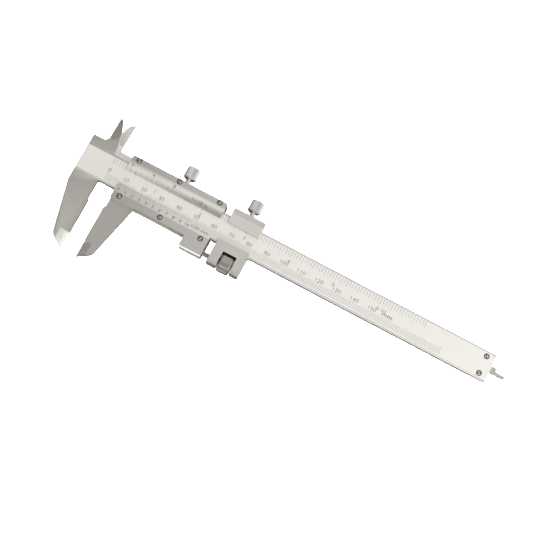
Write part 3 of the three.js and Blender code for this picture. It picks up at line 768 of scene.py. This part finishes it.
LOWER_TILT = -math.atan(LOWER_SLOPE)
UPPER_TILT = math.atan(UPPER_SLOPE)
VERNIER_ZERO = 8.5
VERNIER_STEP = 39.0 / 20
VERNIER_FIGURE = 1.6 * MM
LOWER_FIGURES = -7.3
UPPER_FIGURES = 7.35
LOWER_FIGURE_SHIFT = 0.5
# Distances of the vernier lines' ends from the beam's middle, in millimetres.
LINE_START = 4.1
WHOLE_END = 5.7
HALF_END = 5.2
FOURS_START = 5.6
FOURS_END = 6.3
# Where each plate's unit stands, as on_bevel takes it, and how wide its letters are drawn.
LOWER_UNIT = (54.8, -6.5)
UPPER_UNIT = (48.3, 6.0)
LOWER_UNIT_STRETCH = 1.25
UPPER_UNIT_STRETCH = 1.15
UPPER_UNIT_HEIGHT = VERNIER_FIGURE * 1.1


def bevel_row(name, start, low, high, count, pitch):
    """A row of vernier lines on a bevel, from start on, between two distances from the beam's middle."""
    return repeat(mark(name, on_bevel(start, low), on_bevel(start, high)), (count, pitch))


lower_marks = [
    bevel_row("wholes", VERNIER_ZERO, -WHOLE_END, -LINE_START, 11, 2 * VERNIER_STEP),
    bevel_row("halves", VERNIER_ZERO + VERNIER_STEP, -HALF_END, -LINE_START, 10, 2 * VERNIER_STEP),
]
for figure in range(11):
    centre = on_bevel(VERNIER_ZERO + figure * 2 * VERNIER_STEP + LOWER_FIGURE_SHIFT, LOWER_FIGURES)
    lower_marks.append(lettering("figure", str(figure), centre, VERNIER_FIGURE, LOWER_TILT))
unit = lettering(
    "unit", "1/20 mm", on_bevel(*LOWER_UNIT), VERNIER_FIGURE, LOWER_TILT, LOWER_UNIT_STRETCH
)
lower_marks.append(unit)
joined("lower_vernier_marks", lower_marks, "slider")

UPPER_ZERO = 9.3
UPPER_STEP = 23.8 / 8
upper_marks = [
    bevel_row("eighths", UPPER_ZERO, LINE_START, WHOLE_END, 9, UPPER_STEP),
    bevel_row("fours", UPPER_ZERO, FOURS_START, FOURS_END, 3, 4 * UPPER_STEP),
]
for figure in (0, 4, 8):
    centre = on_bevel(UPPER_ZERO + figure * UPPER_STEP, UPPER_FIGURES)
    upper_marks.append(lettering("figure", str(figure), centre, VERNIER_FIGURE, UPPER_TILT))
unit = lettering(
    "unit", "1/128 in", on_bevel(*UPPER_UNIT), UPPER_UNIT_HEIGHT, UPPER_TILT, UPPER_UNIT_STRETCH
)
upper_marks.append(unit)
joined("upper_vernier_marks", upper_marks, "slider")


# ---- lock screws ----
# Thumb screws turned from steel bar, with a straight knurl: one locks the slider, the other locks the
# fine-adjustment block to the beam. Each turns in a tapped hole in its piece's upper rail.
knurl_steel = steel("knurl_steel", (0.57, 0.565, 0.545), 0.42, 0.95, ACROSS, 0.1, 0.2)
KNURL_TEETH = 48
KNURL_DEPTH = 0.16 * MM
KNOB_CHAMFER = 0.6 * MM
KNOB_LENGTH = 6.5 * MM
STUD_RADIUS = 1.2 * MM
UNDER_RIM = 0.35 * MM
STUD_POINT = 0.25 * MM
TOP_LAND = 0.9 * MM
TOP_STEP = 0.15 * MM
TOP_DISH = 0.12 * MM


def knurled_wheel(name, radius, width, chamfer, teeth, depth):
    """A wheel about the origin with its axis along Z, its rim grooved and its corners chamfered."""
    clear_selection()
    bpy.ops.mesh.primitive_cylinder_add(vertices=2 * teeth, radius=radius, depth=width)
    wheel = bpy.context.object
    wheel.name = name
    bpy.ops.object.mode_set(mode="EDIT")
    for level in (width / 2 - chamfer, chamfer - width / 2):
        bpy.ops.mesh.select_all(action="SELECT")
        bpy.ops.mesh.bisect(plane_co=(0, 0, level), plane_no=(0, 0, 1))
    mesh = bmesh.from_edit_mesh(wheel.data)
    bpy.ops.mesh.select_mode(type="VERT")
    for point in mesh.verts:
        point.select_set(abs(point.co.z) > width / 2 - chamfer / 2)
    mesh.select_flush_mode()
    bmesh.update_edit_mesh(wheel.data)
    shrink = (radius - chamfer) / radius
    bpy.ops.transform.resize(value=(shrink, shrink, 1), center_override=(0, 0, 0))
    bpy.ops.mesh.select_all(action="DESELECT")
    mesh = bmesh.from_edit_mesh(wheel.data)
    for point in mesh.verts:
        step = math.atan2(point.co.y, point.co.x) / (math.pi / teeth)
        point.select_set(round(step) % 2 == 1 and abs(point.co.z) < width / 2 - chamfer / 2)
    mesh.select_flush_mode()
    bmesh.update_edit_mesh(wheel.data)
    shrink = (radius - depth) / radius
    bpy.ops.transform.resize(value=(shrink, shrink, 1), center_override=(0, 0, 0))
    bpy.ops.object.mode_set(mode="OBJECT")
    return wheel


def pull_out(shape, upwards, steps):
    """Insets the wheel's top or bottom face and extrudes it: steps are (inset, height) pairs."""
    bpy.ops.object.mode_set(mode="EDIT")
    bpy.ops.mesh.select_mode(type="FACE")
    mesh = bmesh.from_edit_mesh(shape.data)
    reach = max(face.calc_center_median().z * upwards for face in mesh.faces)
    for face in mesh.faces:
        level = face.calc_center_median().z * upwards
        face.select_set(face.normal.z * upwards > FACES and level > reach - SAME_LEVEL)
    bmesh.update_edit_mesh(shape.data)
    for inset, height in steps:
        if inset:
            bpy.ops.mesh.inset(thickness=inset)
        if height:
            bpy.ops.mesh.extrude_region_move(TRANSFORM_OT_translate={"value": (0, 0, height * upwards)})
    bpy.ops.object.mode_set(mode="OBJECT")


def thumb_screw(node, body):
    """The whole lock screw: knurled head with a dished top, and the plain stud that enters the rail."""
    low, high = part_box(node)
    radius = (high.x - low.x) / 2
    screw = knurled_wheel(
        node + "_finished", radius, KNOB_LENGTH, KNOB_CHAMFER, KNURL_TEETH, KNURL_DEPTH
    )
    pull_out(screw, 1, [(TOP_LAND, 0.0), (TOP_STEP, -TOP_DISH)])
    stud_length = (high.y - low.y) - KNOB_LENGTH
    to_stud = radius - KNOB_CHAMFER - UNDER_RIM - STUD_RADIUS
    stud_steps = [
        (UNDER_RIM, 0.0),
        (to_stud, 0.0),
        (0.0, stud_length - STUD_POINT),
        (STUD_POINT, STUD_POINT),
    ]
    pull_out(screw, -1, stud_steps)
    screw.data.transform(
        Matrix.Translation(((low.x + high.x) / 2, high.y - KNOB_LENGTH / 2, (low.z + high.z) / 2))
        @ Matrix.Rotation(math.radians(-90), 4, "X")
    )
    screw.data.materials.append(knurl_steel)
    bpy.ops.object.shade_smooth_by_angle(angle=TURNED_SMOOTH)
    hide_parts(node)
    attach(screw, body)


thumb_screw("slider_lock_screw", "slider_lock")
thumb_screw("block_lock_screw", "block_lock")


# ---- fine-adjustment block and its clamp shoe ----
# A milled clamp block that slides on the beam and is locked to it by its own thumb screw through a bronze
# shoe. Its lower lip has a window for the adjusting nut, and the lip's end is rounded over.
block_steel = steel("block_steel", (0.57, 0.555, 0.53), 0.30, 0.95, ALONG, 0.08, 0.1)
BLOCK_BREAK = 0.1 * MM
block = broken_edges("fine_adjust_block", "fine_adjust_block_finished", BLOCK_BREAK)
finish_faces(block, [block_steel], lambda centre, normal: 0)
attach(block, "adjuster")
finish_node("clamp_shoe", bronze)


# ---- fine-adjustment rod, pin and nut ----
# The threaded rod is pinned into the slider's tail and passes through the block. The knurled nut sits in the
# block's window and draws the slider along the rod.
rod_steel = steel("rod_steel", (0.46, 0.45, 0.425), 0.35, 0.95, LONG_DRAWN, 0.1, 0.15)
NUT_LINES = (260.0, 9000.0, 9000.0)
nut_steel = steel("nut_steel", (0.26, 0.252, 0.236), 0.33, 0.95, NUT_LINES, 0.1, 0.15)
finish_node("rod_pin", bright_steel)
THREAD_PITCH = 0.45 * MM
THREAD_DEPTH = 0.2 * MM
ROD_SIDES = 20

rod_low, rod_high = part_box("fine_adjust_rod")
rod_radius = (rod_high.y - rod_low.y) / 2
turns = int((rod_high.x - rod_low.x) / THREAD_PITCH)
root_radius = rod_radius - THREAD_DEPTH
rod_length = rod_high.x - rod_low.x
# Half of the rod's outline, from the middle of one end to the middle of the other, as (along, out) points.
outline = [(0.0, 0.0), (0.0, root_radius)]
for turn in range(turns):
    outline.append(((turn + 0.5) * THREAD_PITCH, rod_radius))
    outline.append(((turn + 1.0) * THREAD_PITCH, root_radius))
outline += [(rod_length, root_radius), (rod_length, 0.0)]

clear_selection()
bpy.ops.mesh.primitive_circle_add(vertices=4, radius=rod_radius)
rod = bpy.context.object
rod.name = "fine_adjust_rod_finished"
bpy.ops.object.mode_set(mode="EDIT")
bpy.ops.mesh.select_mode(type="VERT")
bpy.ops.mesh.select_all(action="SELECT")
bpy.ops.mesh.merge(type="CENTER")
for (along, out), (next_along, next_out) in zip(outline, outline[1:]):
    bpy.ops.mesh.extrude_vertices_move(
        TRANSFORM_OT_translate={"value": (next_along - along, 0, next_out - out)}
    )
bpy.ops.mesh.select_all(action="SELECT")
bpy.ops.mesh.spin(steps=ROD_SIDES, angle=math.radians(360), center=(0, 0, 0), axis=(1, 0, 0))
bpy.ops.mesh.select_all(action="SELECT")
bpy.ops.mesh.remove_doubles(threshold=SAME_POINT)
bpy.ops.mesh.normals_make_consistent(inside=False)
bpy.ops.object.mode_set(mode="OBJECT")
rod.data.transform(
    Matrix.Translation((rod_low.x, (rod_low.y + rod_high.y) / 2, (rod_low.z + rod_high.z) / 2))
)
rod.data.materials.append(rod_steel)
bpy.ops.object.shade_smooth_by_angle(angle=TURNED_SMOOTH)
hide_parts("fine_adjust_rod")
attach(rod, "slider")

NUT_TEETH = 44
NUT_CHAMFER = 0.55 * MM
NUT_KNURL = 0.09 * MM
# The nut's ends: a flat rim, a turned step, and a hollow a little wider than the rod.
NUT_RIM = 0.5 * MM
NUT_STEP = 0.1 * MM
NUT_HOLLOW = 1.0 * MM
HOLLOW_RADIUS = 1.35 * MM
nut_low, nut_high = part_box("adjusting_nut")
nut_radius = (nut_high.y - nut_low.y) / 2
nut = knurled_wheel(
    "adjusting_nut_finished", nut_radius, nut_high.x - nut_low.x, NUT_CHAMFER, NUT_TEETH, NUT_KNURL
)
to_hollow = nut_radius - NUT_CHAMFER - HOLLOW_RADIUS - NUT_RIM - NUT_STEP
for side in (1, -1):
    pull_out(nut, side, [(NUT_RIM, 0.0), (NUT_STEP, -NUT_STEP), (to_hollow, 0.0), (0.0, -NUT_HOLLOW)])
nut.data.transform(
    Matrix.Translation((nut_low + nut_high) / 2) @ Matrix.Rotation(math.radians(90), 4, "Y")
)
nut.data.materials.append(nut_steel)
bpy.ops.object.shade_smooth_by_angle(angle=TURNED_SMOOTH)
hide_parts("adjusting_nut")
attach(nut, "nut")


# ---- depth rod ----
# A flat ground strip screwed to the inside of the slider's back. It runs in the beam's groove and its
# stepped tip comes out of the beam's end by the reading.
DEPTH_ROD_BREAK = 0.08 * MM
depth_rod = broken_edges("depth_rod", "depth_rod_finished", DEPTH_ROD_BREAK)
finish_faces(depth_rod, [bright_steel], lambda centre, normal: 0)
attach(depth_rod, "slider")
finish_node("depth_rod_screw_1", screw_steel)
finish_node("depth_rod_screw_2", screw_steel)
